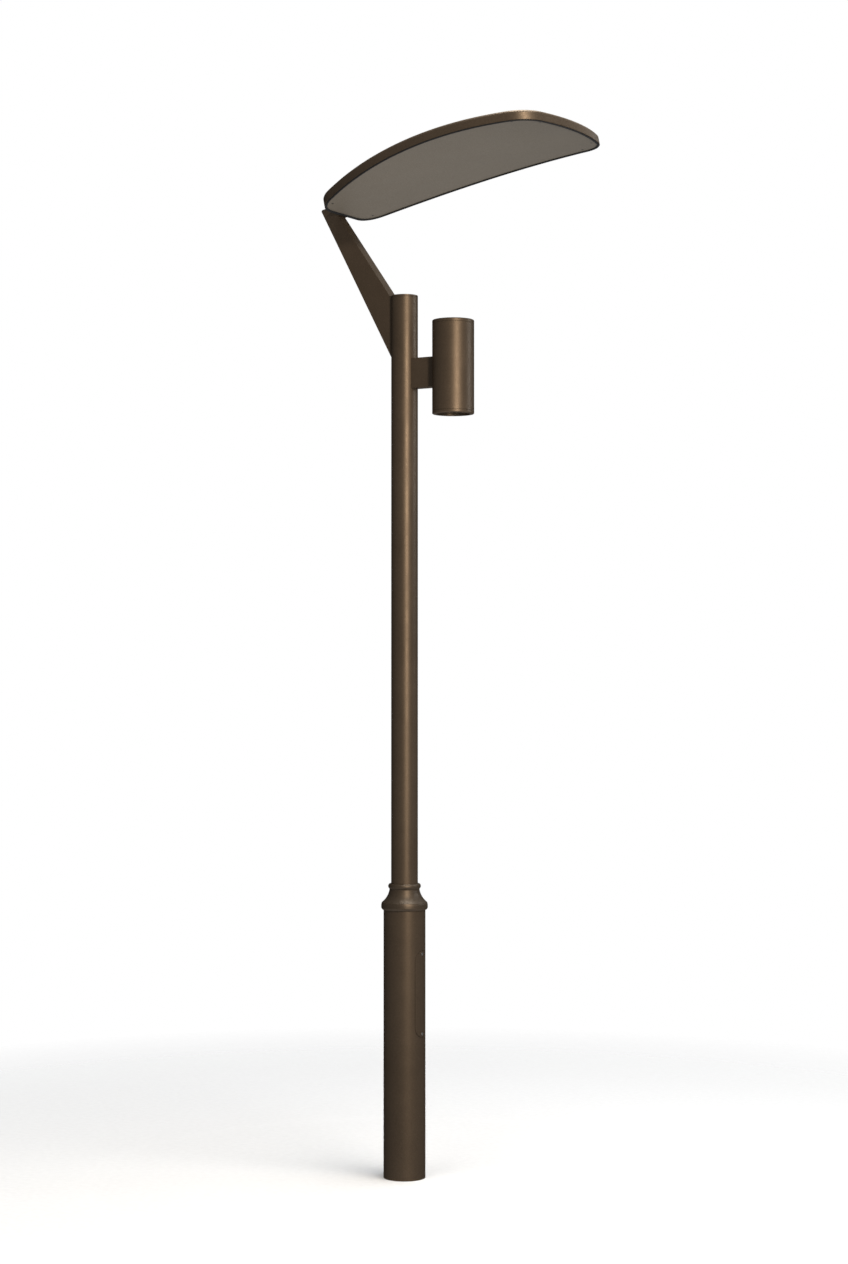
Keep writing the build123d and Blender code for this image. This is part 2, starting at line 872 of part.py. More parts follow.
def cross_rib(place):
    """A rib across the head at a distance along it, notched for the spine."""
    with BuildPart() as piece:
        add(head_layer(cover_wall + rim_frame_width + 2 * weld_gap, frame_base, skin_base))
        slab = arch_band(0, cover_depth, place, place + rib_thickness, head_length)
        add(slab, mode=Mode.INTERSECT)
        add(spine_space(weld_gap), mode=Mode.SUBTRACT)
    return piece.part


def make_cross_ribs():
    with BuildPart() as piece:
        for place in rib_places:
            add(cross_rib(place))
    save(piece.part, "cross_ribs")


def panel_screw_plane(place, side):
    """A plane on the rim's arch at a panel screw, facing out of the arch."""
    along, across = place
    lean = asin((along - head_length / 2) / arch_radius)
    height = arch_rise - arch_radius * (1 - cos(lean))
    origin = head_plan.from_local_coords((along, side * across, height))
    facing = head_plan.x_dir * sin(lean) + head_plan.z_dir * cos(lean)
    return Plane(origin=origin, x_dir=(0, 1, 0), z_dir=facing)


panel_screws = [panel_screw_plane(place, side) for place in panel_screw_places for side in (1, -1)]
screw_seat = panel_recess + panel_screw_sunk


def panel_screw(plane, gap):
    """A countersunk screw up through the panel, with a gap round it."""
    cone_start = screw_seat + panel_screw_land
    cone_end = cone_start + panel_screw_head_radius - panel_screw_radius
    start = screw_seat - (panel_thickness if gap else 0)
    with BuildPart() as piece:
        with BuildSketch(plane.offset(start)):
            Circle(panel_screw_head_radius + gap)
        extrude(amount=cone_start - start)
        with BuildSketch(plane.offset(cone_start)):
            Circle(panel_screw_head_radius + gap)
        with BuildSketch(plane.offset(cone_end)):
            Circle(panel_screw_radius + gap)
        loft()
        with BuildSketch(plane.offset(cone_end)):
            Circle(panel_screw_radius + gap)
        extrude(amount=panel_screw_length - cone_end + screw_seat)
    return piece.part


def make_reflector_panel():
    inset = cover_wall + panel_gap
    with BuildPart() as piece:
        add(head_layer(inset, panel_recess, seal_base))
        for plane in panel_screws:
            add(panel_screw(plane, screw_gap), mode=Mode.SUBTRACT)
    save(piece.part, "reflector_panel")


def make_panel_standoffs():
    with BuildPart() as piece:
        for plane in panel_screws:
            with BuildSketch(plane):
                Circle(standoff_radius)
                Circle(panel_screw_radius + screw_gap, mode=Mode.SUBTRACT)
            extrude(amount=2 * cover_depth)
        reach = 2 * end_bulge
        band = arch_band(seal_base, skin_base, -reach, head_length + reach, head_length)
        add(band, mode=Mode.INTERSECT)
    save(piece.part, "panel_standoffs")


def make_panel_screws():
    with BuildPart() as piece:
        for plane in panel_screws:
            add(panel_screw(plane, 0))
    save(piece.part, "panel_screws")


# Spotlight: the same stack of pieces at each end

def spot_ring(way, outer, inner, first, second):
    """A ring on the spotlight's axis, between two depths from its top or bottom face."""
    face = spot_top if way > 0 else spot_bottom
    levels = sorted((face - way * first, face - way * second))
    return tube(outer, inner, levels[0], levels[1], (spot_place, 0))


glass_depth = bezel_height + bezel_spigot_length
seal_depth = glass_depth + glass_thickness
seat_depth = seal_depth + glass_seal_thickness
optic_start = seat_depth + seat_thickness
fin_end = (spot_height - driver_room) / 2
fin_depth = fin_end - sink_fin_height
sink_depth = fin_depth - sink_plate
module_depth = sink_depth - module_thickness
optic_end = module_depth - module_gap
driver_base = spot_bottom + fin_end
driver_front = spot_place + driver_offset - driver_length / 2


def make_bezel(way, name):
    with BuildPart() as piece:
        outer_face = bezel_height - bezel_seam
        add(spot_ring(way, spot_radius, bezel_opening_radius, 0, outer_face))
        rim = piece.edges().group_by(Axis.Z)[-1 if way > 0 else 0].sort_by(Edge.length)[-1]
        fillet(rim, radius=bezel_edge_radius)
        spigot_radius = spot_inner_radius - free_gap
        spigot_inner = spigot_radius - bezel_spigot_wall
        add(spot_ring(way, spigot_radius, bezel_opening_radius, outer_face, bezel_height))
        add(spot_ring(way, spigot_radius, spigot_inner, bezel_height, glass_depth))
    save(piece.part, f"{name}_bezel")


def make_optic(way, name):
    """A thin bowl that narrows from the glass to the LED module."""
    face = spot_top if way > 0 else spot_bottom
    mouth = face - way * optic_start
    throat = face - way * optic_end
    waist = (optic_throat_radius + optic_mouth_radius) * 0.58
    middle = (mouth + throat) / 2
    with BuildPart() as piece:
        with BuildSketch(Plane.XZ):
            with BuildLine():
                inner = ThreePointArc(
                    (spot_place + optic_mouth_radius, mouth),
                    (spot_place + waist, middle),
                    (spot_place + optic_throat_radius, throat),
                )
                outer = ThreePointArc(
                    (spot_place + optic_mouth_radius + optic_wall, mouth),
                    (spot_place + waist + optic_wall, middle),
                    (spot_place + optic_throat_radius + optic_wall, throat),
                )
                Line(inner @ 0, outer @ 0)
                Line(inner @ 1, outer @ 1)
            make_face()
        revolve(axis=Axis((spot_place, 0, 0), (0, 0, 1)))
        rim_inner = optic_mouth_radius + optic_wall / 2
        rim_outer = spot_inner_radius - free_gap
        add(spot_ring(way, rim_outer, rim_inner, optic_start, optic_start + optic_wall))
    save(piece.part, f"{name}_optic")


def make_led_module(way, name):
    with BuildPart() as piece:
        add(spot_ring(way, module_radius, 0, module_depth, sink_depth))
        add(spot_ring(way, emitter_radius, 0, module_depth - emitter_thickness, module_depth))
    save(piece.part, f"{name}_led_module")


def make_heat_sink(way, name):
    radius = spot_inner_radius - weld_gap
    count = int(2 * radius / sink_fin_pitch)
    face = spot_top if way > 0 else spot_bottom
    levels = sorted((face - way * fin_depth, face - way * fin_end))
    with BuildPart() as piece:
        with BuildSketch(Plane.XY.offset(levels[0])):
            with Locations((spot_place, 0)):
                with GridLocations(sink_fin_pitch, 1, count, 1):
                    Rectangle(sink_fin_thickness, 2 * radius)
                Circle(radius, mode=Mode.INTERSECT)
        extrude(amount=levels[1] - levels[0])
        add(spot_ring(way, radius, 0, sink_depth, fin_depth))
    save(piece.part, f"{name}_heat_sink")


def make_spot_ends():
    for way, name in ((1, "upper"), (-1, "lower")):
        make_bezel(way, name)
        save(spot_ring(way, glass_radius, 0, glass_depth, seal_depth), f"{name}_glass")
        seal = spot_ring(way, glass_radius, seat_radius, seal_depth, seat_depth)
        save(seal, f"{name}_glass_gasket")
        make_optic(way, name)
        make_led_module(way, name)
        make_heat_sink(way, name)


def make_spot_housing():
    with BuildPart() as piece:
        for way in (1, -1):
            middle = spot_top - spot_middle
            add(spot_ring(way, spot_radius, spot_inner_radius, bezel_height, middle))
            add(spot_ring(way, spot_inner_radius + 1, seat_radius, seat_depth, optic_start))
        cable_hole = rod(cable_radius + screw_gap, 0, spot_place, bracket_middle)
        add(cable_hole, mode=Mode.SUBTRACT)
        for height in bolt_heights:
            hole = rod(bracket_bolt_radius + screw_gap, 0, spot_place, height)
            add(hole, mode=Mode.SUBTRACT)
    save(piece.part, "spot_housing")


def make_driver():
    low = (driver_front, -driver_half_width, driver_base)
    high = (driver_front + driver_length, driver_half_width, driver_base + driver_height)
    save(block(low, high), "led_driver")


def make_driver_terminals():
    low_height = bracket_middle - terminal_height / 2
    low = (driver_front - terminal_depth, -terminal_half_width, low_height)
    high = (driver_front, terminal_half_width, low_height + terminal_height)
    save(block(low, high), "driver_terminals")


# Spotlight bracket: an open-topped box that fits the pole's round and the housing's round

bracket_pole_face = pole_radius + weld_gap
bracket_spot_face = spot_place - spot_radius - weld_gap
lid_foot = bracket_top - bracket_lid_thickness
boss_across = bracket_half_width - bracket_wall - lid_boss_radius + 0.5
boss_place = (bracket_pole_face + bracket_spot_face) / 2


def bracket_block(inset, end_inset, bottom, top):
    """A block between the pole and the housing, with both ends hollowed to their rounds."""
    side = bracket_half_width - inset
    with BuildPart() as piece:
        add(block((0, -side, bottom), (spot_place, side, top)))
        pole_round = tube(bracket_pole_face + end_inset, 0, bottom, top)
        add(pole_round, mode=Mode.SUBTRACT)
        spot_round = spot_radius + weld_gap + end_inset
        add(tube(spot_round, 0, bottom, top, (spot_place, 0)), mode=Mode.SUBTRACT)
    return piece.part


def make_spot_bracket():
    floor = bracket_bottom + bracket_wall
    with BuildPart() as piece:
        add(bracket_block(0, 0, bracket_bottom, lid_foot))
        add(bracket_block(bracket_wall, bracket_end_wall, floor, lid_foot), mode=Mode.SUBTRACT)
        for side in (1, -1):
            boss = (boss_place, side * boss_across)
            screw_foot = bracket_top - lid_screw_length - 1
            add(tube(lid_boss_radius, 0, floor, lid_foot, boss))
            screw_hole = tube(lid_screw_radius + screw_gap, 0, screw_foot, bracket_top, boss)
            add(screw_hole, mode=Mode.SUBTRACT)
        add(rod(cable_hole_radius, 0, boss_place, bracket_middle), mode=Mode.SUBTRACT)
        narrow_hole = rod(cable_radius + screw_gap, 0, spot_place, bracket_middle)
        add(narrow_hole, mode=Mode.SUBTRACT)
        for height in bolt_heights:
            hole = rod(bracket_bolt_radius + screw_gap, 0, spot_place, height)
            add(hole, mode=Mode.SUBTRACT)
    save(piece.part, "spot_bracket")


def lid_screw(side, gap):
    """A countersunk screw down through the bracket's lid, with a gap round it."""
    head_depth = lid_screw_head_radius - lid_screw_radius
    place = (boss_place, side * boss_across)
    with BuildPart() as piece:
        add(tube(lid_screw_radius + gap, 0, bracket_top - lid_screw_length, bracket_top, place))
        with BuildSketch(Plane.XY.offset(bracket_top - head_depth)):
            with Locations(place):
                Circle(lid_screw_radius + gap)
        with BuildSketch(Plane.XY.offset(bracket_top)):
            with Locations(place):
                Circle(lid_screw_head_radius + gap)
        loft()
    return piece.part


def make_bracket_lid():
    with BuildPart() as piece:
        add(bracket_block(0, 0, lid_foot, bracket_top))
        for side in (1, -1):
            add(lid_screw(side, screw_gap), mode=Mode.SUBTRACT)
    save(piece.part, "bracket_lid")


def make_bracket_lid_screws():
    with BuildPart() as piece:
        for side in (1, -1):
            add(lid_screw(side, 0))
    save(piece.part, "bracket_lid_screws")


def make_bracket_bolts_and_nuts():
    pole_seat = bracket_pole_face + bracket_end_wall
    spot_seat = bracket_spot_face - bracket_end_wall
    pole_nut = pole_inner_radius - 2 * free_gap - bracket_nut_thickness
    spot_nut = spot_place - spot_inner_radius + 2 * free_gap
    with BuildPart() as bolts:
        for height in bolt_heights:
            add(rod(bracket_bolt_radius, pole_nut - 2, pole_seat, height))
            head_end = pole_seat + bracket_bolt_head_depth
            add(rod(bracket_bolt_head_radius, pole_seat, head_end, height))
            tip = spot_nut + bracket_nut_thickness + 2
            add(rod(bracket_bolt_radius, spot_seat, tip, height))
            head_start = spot_seat - bracket_bolt_head_depth
            add(rod(bracket_bolt_head_radius, head_start, spot_seat, height))
    save(bolts.part, "bracket_bolts")
    with BuildPart() as nuts:
        for height in bolt_heights:
            for start in (pole_nut, spot_nut):
                with BuildSketch(Plane.YZ.offset(start)):
                    with Locations((0, height)):
                        RegularPolygon(bracket_nut_radius, 6)
                        Circle(bracket_bolt_radius + weld_gap, mode=Mode.SUBTRACT)
                extrude(amount=bracket_nut_thickness)
    save(nuts.part, "bracket_nuts")


def make_lamp_cable():
    """From the fuse holder up the pole, then through the bracket to the driver's terminals."""
    holder_top = box_middle + holder_height / 2
    turn = (cable_place, 0, bracket_middle)
    end = (driver_front - terminal_depth, 0, bracket_middle)
    with BuildPart() as piece:
        with BuildLine() as route:
            FilletPolyline((cable_place, 0, holder_top), turn, end, radius=cable_bend)
        with BuildSketch(Plane.XY.offset(holder_top)):
            with Locations((cable_place, 0)):
                Circle(cable_radius)
        sweep(path=route.line)
    save(piece.part, "lamp_cable")


make_base_plate()
make_cable_grommet()
make_lower_pole()
make_door_frame()
make_door_gasket()
make_door_cover()
make_door_locks()
make_lock_tabs()
make_board_mounts()
make_equipment_board()
make_board_screws()
make_fuse_box()
make_fuse_box_lid()
make_fuse_holder()
make_fuse_carrier()
make_fuse_link()
make_cable_glands()
make_earth_stud()
make_earth_nuts()
make_centring_rings()
make_collar()
make_collar_set_screws()
make_upper_pole()
make_cap_gasket()
make_pole_top_cap()
make_arm_plates()
make_arm_strips()
make_arm_head_flange()
make_reflector_cover()
make_rim_frame()
make_panel_gasket()
make_head_spine()
make_cross_ribs()
make_reflector_panel()
make_panel_standoffs()
make_panel_screws()
make_spot_housing()
make_spot_ends()
make_driver()
make_driver_terminals()
make_spot_bracket()
make_bracket_lid()
make_bracket_lid_screws()
make_bracket_bolts_and_nuts()
make_lamp_cable()
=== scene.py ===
import json
import math

import bpy
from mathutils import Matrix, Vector


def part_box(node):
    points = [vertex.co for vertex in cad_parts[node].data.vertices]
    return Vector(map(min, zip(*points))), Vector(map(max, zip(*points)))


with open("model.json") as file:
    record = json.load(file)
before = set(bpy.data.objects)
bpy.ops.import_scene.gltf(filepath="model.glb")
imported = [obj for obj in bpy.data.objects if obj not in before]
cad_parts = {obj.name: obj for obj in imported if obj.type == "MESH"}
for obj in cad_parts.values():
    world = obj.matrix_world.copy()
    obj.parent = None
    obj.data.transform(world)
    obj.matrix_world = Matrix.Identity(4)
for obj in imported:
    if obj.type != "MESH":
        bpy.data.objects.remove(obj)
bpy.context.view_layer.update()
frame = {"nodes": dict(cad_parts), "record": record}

nodes = frame["nodes"]
slot_of = {part["node"]: part["material_slot"] for part in frame["record"]["subparts"]}


# ---------------------------------------------------------------- camera

CAMERA_PLACE = (4.833, -7.734, 1.928)
CAMERA_HEADING = (-0.52305, 0.85231)
CAMERA_RISE = 0.859      # degrees above level
CAMERA_LENS = 68.35      # mm, on a sensor 36 mm wide


def make_camera():
    """Stands 9.12 m from the pole, a little above eye level, and looks almost level."""
    data = bpy.data.cameras.new("camera")
    data.lens = CAMERA_LENS
    data.sensor_width = 36.0
    data.clip_start = 0.1
    data.clip_end = 200.0
    camera = bpy.data.objects.new("camera", data)
    bpy.context.scene.collection.objects.link(camera)
    camera.location = CAMERA_PLACE
    look = Vector((*CAMERA_HEADING, math.tan(math.radians(CAMERA_RISE))))
    camera.rotation_mode = "QUATERNION"
    camera.rotation_quaternion = look.to_track_quat("-Z", "Y")
    bpy.context.scene.camera = camera


make_camera()


# ---------------------------------------------------------------- node graphs

class Graph:
    """One procedural material on a Principled shader, in the object's own coordinates."""

    def __init__(self, name):
        self.material = bpy.data.materials.new(name)
        self.material.use_nodes = True
        tree = self.material.node_tree
        self.nodes = tree.nodes
        self.links = tree.links
        self.shader = self.nodes["Principled BSDF"]
        self.place = self.nodes.new("ShaderNodeTexCoord").outputs["Object"]

    def fixed(self, **values):
        """Sets constants on the shader's own sockets."""
        for key, value in values.items():
            self.shader.inputs[key.replace("_", " ")].default_value = value

    def wire(self, source, target):
        self.links.new(source, target)

    def stretched(self, along):
        """The object's coordinates, scaled by a different amount on each axis."""
        mapping = self.nodes.new("ShaderNodeMapping")
        mapping.inputs["Scale"].default_value = along
        self.wire(self.place, mapping.inputs["Vector"])
        return mapping.outputs["Vector"]

    def noise(self, scale, detail=2.0, rough=0.5, vector=None, distortion=0.0):
        node = self.nodes.new("ShaderNodeTexNoise")
        node.inputs["Scale"].default_value = scale
        node.inputs["Detail"].default_value = detail
        node.inputs["Roughness"].default_value = rough
        node.inputs["Distortion"].default_value = distortion
        self.wire(vector or self.place, node.inputs["Vector"])
        return node.outputs["Fac"]

    def cells(self, scale, output="Color", vector=None):
        node = self.nodes.new("ShaderNodeTexVoronoi")
        node.inputs["Scale"].default_value = scale
        self.wire(vector or self.place, node.inputs["Vector"])
        return node.outputs[output]

    def remap(self, value, low, high, to_low, to_high):
        node = self.nodes.new("ShaderNodeMapRange")
        self.wire(value, node.inputs["Value"])
        node.inputs["From Min"].default_value = low
        node.inputs["From Max"].default_value = high
        node.inputs["To Min"].default_value = to_low
        node.inputs["To Max"].default_value = to_high
        return node.outputs["Result"]

    def math(self, operation, first, second):
        node = self.nodes.new("ShaderNodeMath")
        node.operation = operation
        for socket, value in zip(node.inputs, (first, second)):
            if isinstance(value, (int, float)):
                socket.default_value = value
            else:
                self.wire(value, socket)
        return node.outputs["Value"]

    def ramp(self, value, *stops):
        """Colour ramp through (position, colour) stops."""
        node = self.nodes.new("ShaderNodeValToRGB")
        elements = node.color_ramp.elements
        while len(elements) < len(stops):
            elements.new(0.5)
        for element, (position, colour) in zip(elements, stops):
            element.position = position
            element.color = (*colour, 1.0)
        self.wire(value, node.inputs["Fac"])
        return node.outputs["Color"]

    def mix(self, amount, first, second, blend="MIX"):
        node = self.nodes.new("ShaderNodeMix")
        node.data_type = "RGBA"
        node.blend_type = blend
        if isinstance(amount, (int, float)):
            node.inputs[0].default_value = amount
        else:
            self.wire(amount, node.inputs[0])
        for socket, value in zip((node.inputs[6], node.inputs[7]), (first, second)):
            if isinstance(value, tuple):
                socket.default_value = (*value, 1.0)
            else:
                self.wire(value, socket)
        return node.outputs[2]

    def bump(self, height, depth, strength=1.0, under=None):
        """Adds relief of that depth in metres, on top of another normal."""
        node = self.nodes.new("ShaderNodeBump")
        node.inputs["Strength"].default_value = strength
        node.inputs["Distance"].default_value = depth
        self.wire(height, node.inputs["Height"])
        if under:
            self.wire(under, node.inputs["Normal"])
        return node.outputs["Normal"]

    def soft_edge(self, radius, samples=6):
        """Normal with its edges rounded off by that radius in metres."""
        node = self.nodes.new("ShaderNodeBevel")
        node.samples = samples
        node.inputs["Radius"].default_value = radius
        return node.outputs["Normal"]

    def finish(self, colour=None, roughness=None, normal=None):
        for name, value in (("Base Color", colour), ("Roughness", roughness), ("Normal", normal)):
            if value:
                self.wire(value, self.shader.inputs[name])
        return self.material


def shade(colour, factor):
    return tuple(channel * factor for channel in colour)


# ---------------------------------------------------------------- finishes

# Features per metre in the powder coat
GRAIN_SCALE = 170.0
FLAKE_SCALE = 1500.0
PEEL_SCALE = 420.0
FINE_PEEL_SCALE = 1900.0


def powder_coat(name, colour, metallic, roughness, peel, edge=0.0005, mottle=1.0):
    """Metallic powder coat: orange peel, metal flecks, slow drift in tone and gloss."""
    g = Graph(name)
    drift = g.noise(3.2, detail=4.0, rough=0.55)
    cloud = g.noise(24.0, detail=3.0, rough=0.6)
    pale, deep = shade(colour, 1 + 0.10 * mottle), shade(colour, 1 - 0.12 * mottle)
    tone = g.ramp(drift, (0.30, deep), (0.70, pale))
    tone = g.mix(g.remap(cloud, 0.35, 0.65, 0.0, 0.18 * mottle), tone, shade(colour, 0.80))
    grain = g.noise(GRAIN_SCALE, detail=3.0, rough=0.7)
    tone = g.mix(g.remap(grain, 0.5, 0.75, 0.0, 0.30), tone, shade(colour, 1.35))
    tone = g.mix(g.remap(grain, 0.5, 0.25, 0.0, 0.30), tone, shade(colour, 0.62))
    flake = g.cells(FLAKE_SCALE, "Color")
    flake_value = g.nodes.new("ShaderNodeSeparateColor")
    g.wire(flake, flake_value.inputs["Color"])
    bright = g.remap(flake_value.outputs["Red"], 0.86, 1.0, 0.0, 0.34)
    dark = g.remap(flake_value.outputs["Green"], 0.80, 1.0, 0.0, 0.30)
    tone = g.mix(bright, tone, shade(colour, 2.3))
    tone = g.mix(dark, tone, shade(colour, 0.45))
    gloss = g.noise(11.0, detail=5.0, rough=0.6)
    gloss = g.remap(gloss, 0.3, 0.7, roughness - 0.04, roughness + 0.05)
    fleck_gloss = g.math("MULTIPLY", flake_value.outputs["Blue"], 0.05)
    gloss = g.math("ADD", gloss, fleck_gloss)
    normal = g.soft_edge(edge)
    normal = g.bump(g.noise(PEEL_SCALE, detail=2.0), peel, under=normal)
    normal = g.bump(g.noise(FINE_PEEL_SCALE, detail=1.0), peel * 0.35, under=normal)
    g.fixed(Metallic=metallic, Specular_IOR_Level=0.28, Specular_Tint=(0.50, 0.42, 0.34, 1.0))
    return g.finish(tone, gloss, normal)


def brushed_metal(name, colour, roughness, along):
    """Drawn or turned metal with fine lines along one axis."""
    g = Graph(name)
    lines = g.noise(1.0, detail=4.0, rough=0.65, vector=g.stretched(along))
    patches = g.noise(45.0, detail=3.0)
    tone = g.ramp(lines, (0.30, shade(colour, 0.82)), (0.72, shade(colour, 1.08)))
    tone = g.mix(g.remap(patches, 0.4, 0.7, 0.0, 0.25), tone, shade(colour, 0.75))
    gloss = g.remap(lines, 0.3, 0.7, roughness - 0.06, roughness + 0.08)
    normal = g.bump(lines, 0.00002, under=g.soft_edge(0.0003, samples=4))
    g.fixed(Metallic=1.0)
    return g.finish(tone, gloss, normal)


def spangled_zinc(name, colour):
    """Hot-dip galvanising: zinc crystals, dull patches and a slightly uneven surface."""
    g = Graph(name)
    crystal = g.nodes.new("ShaderNodeSeparateColor")
    g.wire(g.cells(130.0, "Color"), crystal.inputs["Color"])
    tone = g.ramp(crystal.outputs["Red"], (0.0, shade(colour, 0.72)), (1.0, shade(colour, 1.08)))
    dull = g.noise(30.0, detail=4.0)
    tone = g.mix(g.remap(dull, 0.45, 0.75, 0.0, 0.5), tone, shade(colour, 0.6))
    gloss = g.remap(crystal.outputs["Green"], 0.0, 1.0, 0.34, 0.55)
    normal = g.bump(g.noise(90.0, detail=4.0), 0.0002, under=g.soft_edge(0.0005, samples=4))
    g.fixed(Metallic=0.92)
    return g.finish(tone, gloss, normal)


def polished_reflector(name, colour):
    """Spun and polished reflector with faint lathe rings."""
    g = Graph(name)
    rings = g.noise(1.0, detail=3.0, vector=g.stretched((6.0, 6.0, 900.0)))
    haze = g.noise(60.0, detail=4.0)
    tone = g.ramp(haze, (0.35, shade(colour, 0.93)), (0.7, colour))
    gloss = g.remap(haze, 0.35, 0.7, 0.10, 0.17)
    normal = g.bump(rings, 0.00001)
    g.fixed(Metallic=1.0)
    return g.finish(tone, gloss, normal)


def moulded(name, colour, roughness, grain, depth, specular=0.5):
    """Moulded rubber or plastic: spark-eroded grain, flow marks, and painted shade that darkens the low
    spots of the grain.
    """
    g = Graph(name)
    flow = g.noise(18.0, detail=4.0)
    fine = g.noise(grain, detail=3.0, rough=0.6)
    tone = g.ramp(flow, (0.3, shade(colour, 0.85)), (0.7, shade(colour, 1.12)))
    # Painted shade: where the grain's height noise (the same one that drives the bump) is low, the colour
    # is darkened as if in shadow.
    tone = g.mix(g.remap(fine, 0.25, 0.42, 0.25, 0.0), tone, shade(colour, 0.6))
    gloss = g.remap(fine, 0.3, 0.7, roughness - 0.07, roughness + 0.07)
    normal = g.bump(fine, depth, under=g.soft_edge(0.0004, samples=4))
    g.fixed(Specular_IOR_Level=specular)
    return g.finish(tone, gloss, normal)


def laminate(name, colour):
    """Pressed laminate board with a faint cloth weave."""
    g = Graph(name)
    warp = g.noise(1.0, detail=2.0, vector=g.stretched((1200.0, 60.0, 1200.0)))
    weft = g.noise(1.0, detail=2.0, vector=g.stretched((1200.0, 1200.0, 60.0)))
    weave = g.math("ADD", warp, weft)
    tone = g.ramp(weave, (0.75, shade(colour, 0.84)), (1.0, shade(colour, 1.1)))
    gloss = g.remap(weave, 0.7, 1.3, 0.45, 0.6)
    normal = g.bump(weave, 0.00003, under=g.soft_edge(0.0004, samples=4))
    return g.finish(tone, gloss, normal)


def clear_glass(name):
    """Toughened flat glass with a little dust and faint roller waves."""
    g = Graph(name)
    wave = g.noise(14.0, detail=1.0)
    dust = g.noise(260.0, detail=5.0, rough=0.7)
    gloss = g.remap(dust, 0.55, 0.8, 0.015, 0.12)
    normal = g.bump(wave, 0.00004)
    g.fixed(Transmission_Weight=1.0, IOR=1.5, Base_Color=(0.95, 0.98, 0.97, 1.0))
    return g.finish(None, gloss, normal)


def glazed(name, colour):
    """Ceramic fuse body: matte glaze with small pits and a printed-looking mottling."""
    g = Graph(name)
    mottle = g.noise(160.0, detail=4.0)
    pits = g.cells(900.0, "Distance")
    tone = g.ramp(mottle, (0.3, shade(colour, 0.9)), (0.7, colour))
    gloss = g.remap(mottle, 0.3, 0.7, 0.3, 0.45)
    normal = g.bump(g.remap(pits, 0.0, 0.25, 0.0, 1.0), 0.00002)
    return g.finish(tone, gloss, normal)


def lit_board(name, colour, emitter_radius, centre):
    """White circuit board, and a yellow phosphor emitter in the middle."""
    g = Graph(name)
    offset = g.nodes.new("ShaderNodeVectorMath")
    offset.operation = "SUBTRACT"
    g.wire(g.place, offset.inputs[0])
    offset.inputs[1].default_value = centre
    flat = g.nodes.new("ShaderNodeVectorMath")
    flat.operation = "MULTIPLY"
    g.wire(offset.outputs["Vector"], flat.inputs[0])
    flat.inputs[1].default_value = (1.0, 1.0, 0.0)
    distance = g.nodes.new("ShaderNodeVectorMath")
    distance.operation = "LENGTH"
    g.wire(flat.outputs["Vector"], distance.inputs[0])
    core = g.remap(distance.outputs["Value"], emitter_radius - 0.0015, emitter_radius - 0.0005, 1.0, 0.0)
    speck = g.noise(700.0, detail=3.0)
    white = g.ramp(speck, (0.35, shade(colour, 0.88)), (0.65, colour))
    tone = g.mix(core, white, (0.86, 0.66, 0.12))
    gloss = g.remap(core, 0.0, 1.0, 0.5, 0.25)
    normal = g.bump(speck, 0.00002)
    return g.finish(tone, gloss, normal)


# Linear colours
BRONZE = (0.136, 0.102, 0.072)
CAST = (0.116, 0.090, 0.066)
TAUPE = (0.262, 0.231, 0.188)

finishes = {
    "bronze_paint": powder_coat("bronze powder coat", BRONZE, 0.62, 0.40, 0.00005),
    "cast_collar": powder_coat("bronze coat on casting", CAST, 0.62, 0.42, 0.00012, 0.0009),
    "panel_paint": powder_coat("taupe panel coat", TAUPE, 0.15, 0.50, 0.00002, mottle=0.25),
    "bare_steel": brushed_metal("turned steel", (0.55, 0.54, 0.52), 0.30, (1800.0, 1800.0, 120.0)),
    "black_steel": moulded("black screw coating", (0.030, 0.028, 0.026), 0.42, 1200.0, 0.00002),
    "galvanised": spangled_zinc("galvanised steel", (0.56, 0.57, 0.58)),
    "aluminium": brushed_metal("extruded aluminium", (0.72, 0.72, 0.73), 0.34, (90.0, 1500.0, 1500.0)),
    "reflector_metal": polished_reflector("polished reflector", (0.90, 0.90, 0.90)),
    "rubber": moulded("black rubber", (0.022, 0.022, 0.023), 0.72, 900.0, 0.00006, 0.3),
    "black_plastic": moulded("black moulding", (0.030, 0.030, 0.032), 0.46, 1400.0, 0.00004),
    "grey_plastic": moulded("grey moulding", (0.34, 0.35, 0.36), 0.48, 1300.0, 0.00004),
    "board": laminate("laminate board", (0.46, 0.38, 0.27)),
    "glass": clear_glass("toughened glass"),
    "ceramic": glazed("glazed ceramic", (0.80, 0.78, 0.73)),
    "brass": brushed_metal("turned brass", (0.72, 0.52, 0.24), 0.28, (1600.0, 1600.0, 140.0)),
    "cable_sheath": moulded("cable sheath", (0.026, 0.026, 0.028), 0.50, 1100.0, 0.00003),
}
module_low, module_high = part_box("upper_led_module")
module_centre = tuple((module_low + module_high) / 2)
finishes["led_board"] = lit_board("led board", (0.82, 0.82, 0.78), 0.012, module_centre)

for name, node in nodes.items():
    finish = finishes[slot_of[name]]
    for material_slot in node.material_slots:
        material_slot.material = finish
    if not node.material_slots:
        node.data.materials.append(finish)


# ---------------------------------------------------------------- light and floor

def area_light(name, place, aim, width, height, power, colour=(1.0, 1.0, 1.0)):
    data = bpy.data.lights.new(name, "AREA")
    data.shape = "RECTANGLE"
    data.size = width
    data.size_y = height
    data.energy = power
    data.color = colour
    light = bpy.data.objects.new(name, data)
    bpy.context.scene.collection.objects.link(light)
    light.location = place
    light.rotation_mode = "QUATERNION"
    light.rotation_quaternion = (Vector(aim) - Vector(place)).to_track_quat("-Z", "Y")
    light.visible_camera = False
    return light


def around(azimuth, distance, height):
    """A place at that angle round the pole: 0 is towards -Y and 90 is towards +X."""
    turn = math.radians(azimuth)
    return (distance * math.sin(turn), -distance * math.cos(turn), height)


